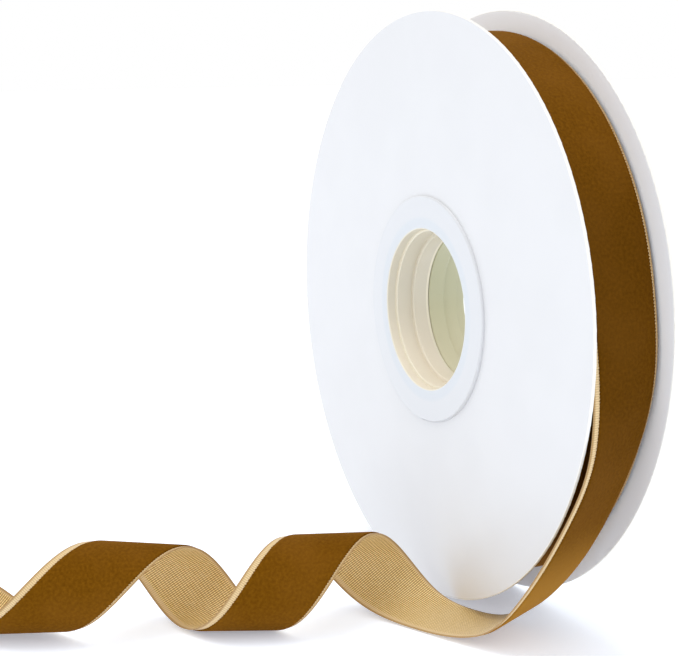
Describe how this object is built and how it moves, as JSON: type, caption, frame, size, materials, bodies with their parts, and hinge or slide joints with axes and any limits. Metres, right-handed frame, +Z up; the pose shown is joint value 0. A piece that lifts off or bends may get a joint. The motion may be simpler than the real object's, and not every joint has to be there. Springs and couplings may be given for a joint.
{
  "type": "ribbon spool",
  "caption": "Flanged card spool with a stepped plastic hub, wound with velvet ribbon whose free end drops off the roll and curls across the floor.",
  "frame": {"origin": "centre of the spool's bore, midway between the flanges", "axes": "+Y along the axis the spool turns on, from the front flange to the rear flange; +Z up, with the spool standing on its rims"},
  "size_m": [0.15, 0.1748, 0.15],
  "materials": {
    "flange_board": "satin",
    "hub_plastic": "satin",
    "core_card": "matte",
    "tape": "satin",
    "velvet": "matte"
  },
  "bodies": {
    "ribbon_end": {"ribbon_outer_lap": "velvet", "ribbon_tail": "velvet"},
    "spool": {"front_flange": "flange_board", "rear_flange": "flange_board", "front_hub_plug": "hub_plastic", "rear_hub_plug": "hub_plastic", "core_tube": "core_card", "start_tape": "tape", "ribbon_roll": "velvet"}
  },
  "joints": [
    {"name": "spool_turn", "type": "hinge", "parent": "ribbon_end", "child": "spool", "pos_m": [0, 0, 0], "axis": [0, 1, 0], "continuous": true}
  ]
}
